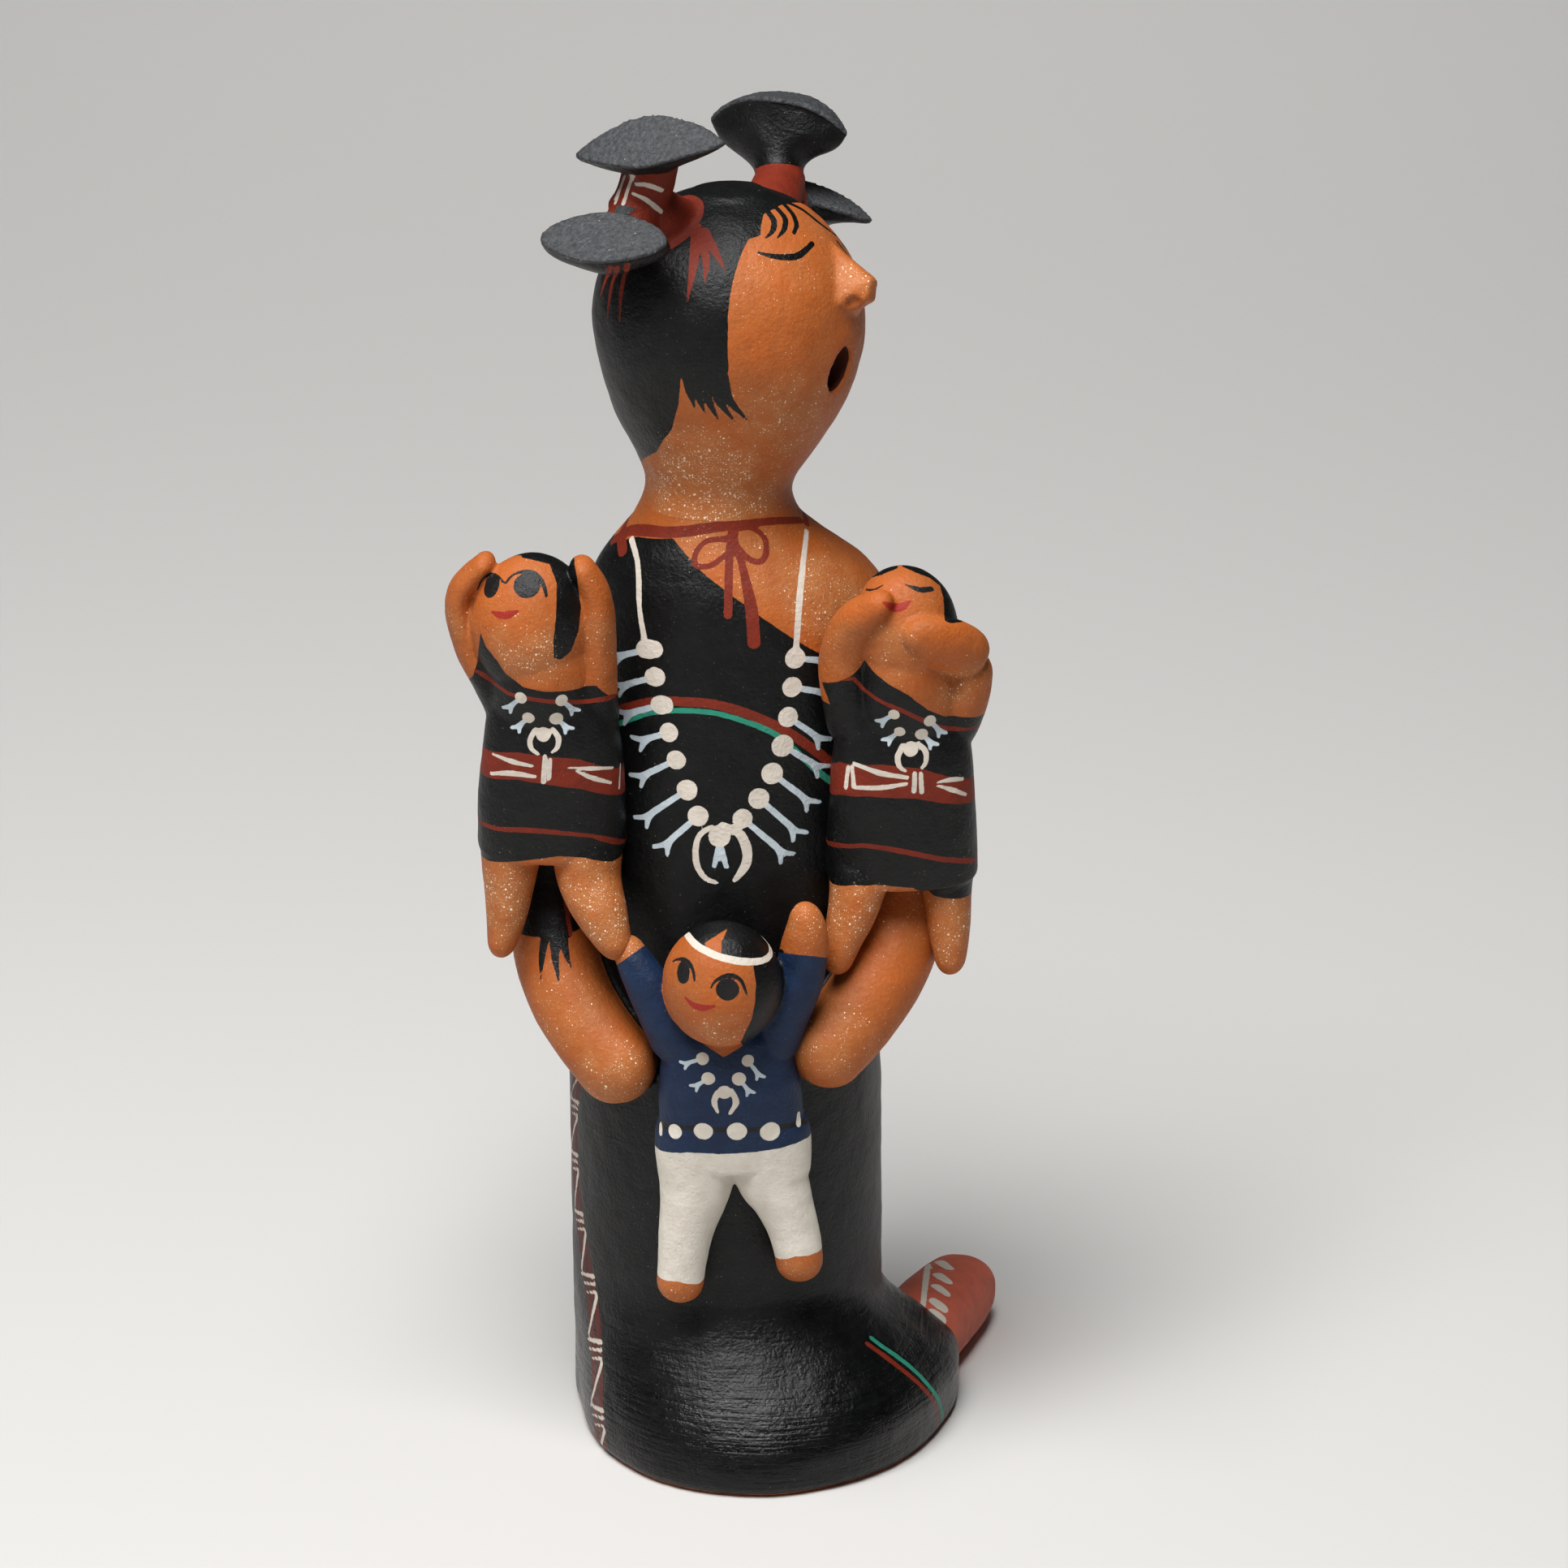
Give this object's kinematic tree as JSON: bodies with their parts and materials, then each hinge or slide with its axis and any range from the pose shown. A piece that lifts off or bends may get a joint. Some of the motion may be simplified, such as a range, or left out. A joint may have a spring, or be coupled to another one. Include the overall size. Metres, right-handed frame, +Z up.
{
  "type": "pueblo storyteller figure",
  "caption": "Hand-built fired clay storyteller: a standing singing woman with hourglass hair buns and children on her arms and skirt.",
  "frame": {"origin": "on the floor under the axis of the standing body, on the flat underside", "axes": "+Z up, the front of the body and the boy towards -Y, the woman's left side and her feet towards +X"},
  "size_m": [0.1114, 0.0948, 0.2827],
  "materials": {
    "painted_micaceous_clay": "fired micaceous terracotta, painted in matte black, brick red, white, blue and turquoise"
  },
  "bodies": {
    "root": {"storyteller_figure": "painted_micaceous_clay"}
  },
  "joints": []
}
